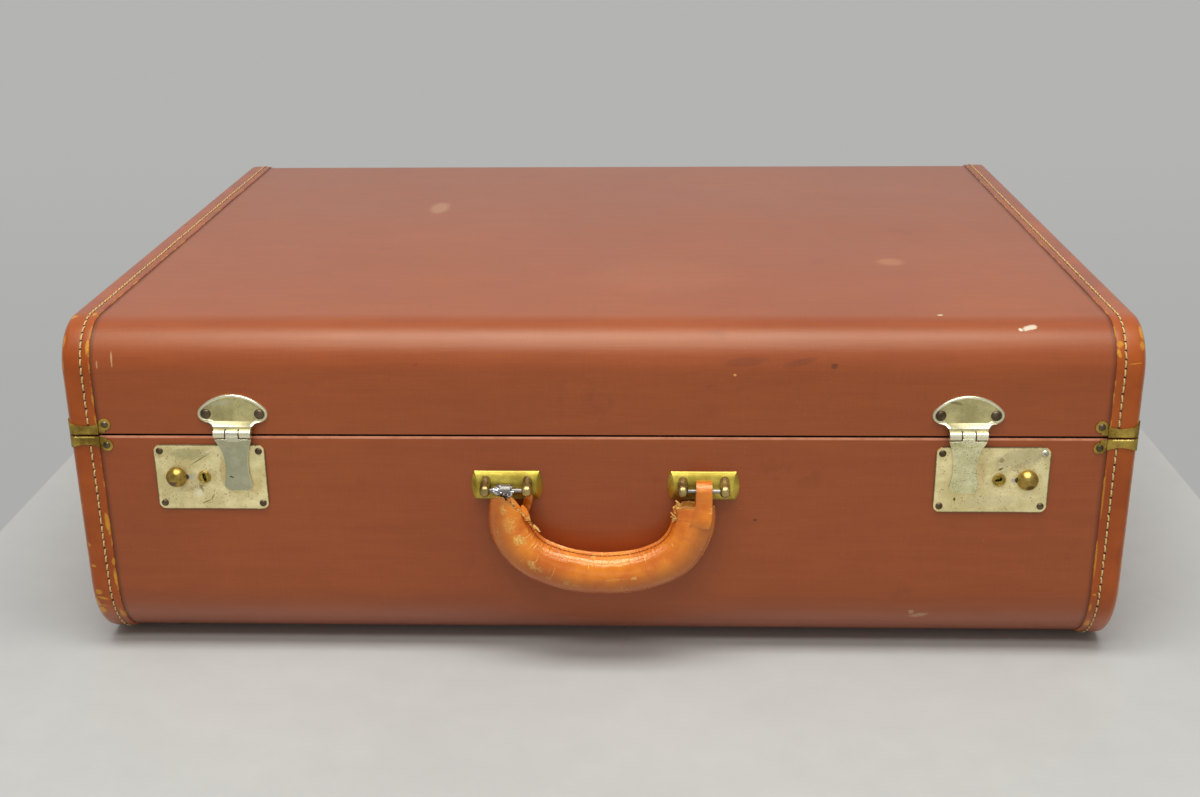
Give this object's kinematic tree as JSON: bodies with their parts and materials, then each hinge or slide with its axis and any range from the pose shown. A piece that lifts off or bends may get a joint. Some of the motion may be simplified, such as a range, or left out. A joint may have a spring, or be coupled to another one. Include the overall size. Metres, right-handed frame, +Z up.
{
  "type": "hard-shell suitcase",
  "caption": "Hard-shell suitcase with leather-bound ends, a hinged lid, key-lock hasp latches and a swinging leather carrying handle.",
  "frame": {"origin": "under the middle of the closed case, on the plane that its leather bindings stand on", "axes": "+X along the front from left to right, +Y from the handle side to the hinge side, +Z up through the lid"},
  "size_m": [0.6616, 0.5374, 0.224],
  "materials": {
    "covering": "satin coated cloth, red-brown",
    "binding_leather": "tan leather, worn at the edges",
    "handle_leather": "glazed tan leather, worn",
    "brass": "aged brass",
    "plated_brass": "worn nickel plate on brass",
    "dark_rivet": "darkened steel",
    "steel": "tarnished steel",
    "wood": "plain basswood",
    "lining": "woven tan cloth"
  },
  "bodies": {
    "base": {"base_panel": "wood", "base_end_left": "wood", "base_end_right": "wood", "base_covering": "covering", "base_lining": "lining", "base_closing_lip": "wood", "base_binding_left": "binding_leather", "base_binding_right": "binding_leather", "base_clamp_front_left": "brass", "base_clamp_front_right": "brass", "base_clamp_rear_left": "brass", "base_clamp_rear_right": "brass", "base_clamp_rivets": "dark_rivet", "hinge_base_leaves": "plated_brass", "hinge_base_rivets": "dark_rivet", "hinge_pins": "steel", "lock_cases": "steel", "lock_plate_left": "plated_brass", "lock_plate_right": "plated_brass", "lock_spring_left": "steel", "lock_spring_right": "steel", "key_barrel_left": "brass", "key_barrel_right": "brass", "handle_plate_left": "brass", "handle_plate_right": "brass", "lock_plate_rivets": "dark_rivet", "handle_lugs": "steel", "handle_pins": "steel"},
    "lid": {"lid_panel": "wood", "lid_end_left": "wood", "lid_end_right": "wood", "lid_covering": "covering", "lid_lining": "lining", "lid_binding_left": "binding_leather", "lid_binding_right": "binding_leather", "lid_clamp_front_left": "brass", "lid_clamp_front_right": "brass", "lid_clamp_rear_left": "brass", "lid_clamp_rear_right": "brass", "lid_clamp_rivets": "dark_rivet", "hinge_lid_leaves": "plated_brass", "hinge_lid_rivets": "dark_rivet", "hasp_plate_left": "plated_brass", "hasp_plate_right": "plated_brass", "hasp_rivets": "dark_rivet", "hasp_pins": "steel"},
    "flap_left": {"hasp_flap_left": "plated_brass", "hasp_hook_left": "plated_brass"},
    "flap_right": {"hasp_flap_right": "plated_brass", "hasp_hook_right": "plated_brass"},
    "slide_left": {"latch_slide_left": "steel", "latch_knob_left": "brass"},
    "slide_right": {"latch_slide_right": "steel", "latch_knob_right": "brass"},
    "key_left": {"key_plug_left": "brass"},
    "key_right": {"key_plug_right": "brass"},
    "handle": {"handle_grip": "handle_leather", "handle_core": "steel", "handle_loop_left": "handle_leather", "handle_loop_right": "handle_leather"}
  },
  "joints": [
    {"name": "lid_hinge", "type": "hinge", "parent": "base", "child": "lid", "pos_m": [0, 0.2556, 0.1535], "axis": [-1, 0, 0], "range_deg": [0, 100]},
    {"name": "handle_swing", "type": "hinge", "parent": "base", "child": "handle", "pos_m": [0.0042, -0.263, 0.121], "axis": [-1, 0, 0], "range_deg": [0, 165]},
    {"name": "flap_hinge_left", "type": "hinge", "parent": "lid", "child": "flap_left", "pos_m": [-0.2258, -0.258, 0.1563], "axis": [-1, 0, 0], "range_deg": [0, 110]},
    {"name": "knob_slide_left", "type": "slide", "parent": "base", "child": "slide_left", "axis": [1, 0, 0], "range_m": [0, 0.006], "stiffness_N_per_m": 250, "springref_m": -0.004, "deforming": ["lock_spring_left"]},
    {"name": "key_turn_left", "type": "hinge", "parent": "base", "child": "key_left", "pos_m": [-0.2475, -0.2528, 0.1254], "axis": [0, 1, 0], "range_deg": [-90, 0]},
    {"name": "flap_hinge_right", "type": "hinge", "parent": "lid", "child": "flap_right", "pos_m": [0.2258, -0.258, 0.1563], "axis": [-1, 0, 0], "range_deg": [0, 110]},
    {"name": "knob_slide_right", "type": "slide", "parent": "base", "child": "slide_right", "axis": [-1, 0, 0], "range_m": [0, 0.006], "stiffness_N_per_m": 250, "springref_m": -0.004, "deforming": ["lock_spring_right"]},
    {"name": "key_turn_right", "type": "hinge", "parent": "base", "child": "key_right", "pos_m": [0.2475, -0.2528, 0.1254], "axis": [0, -1, 0], "range_deg": [-90, 0]}
  ]
}
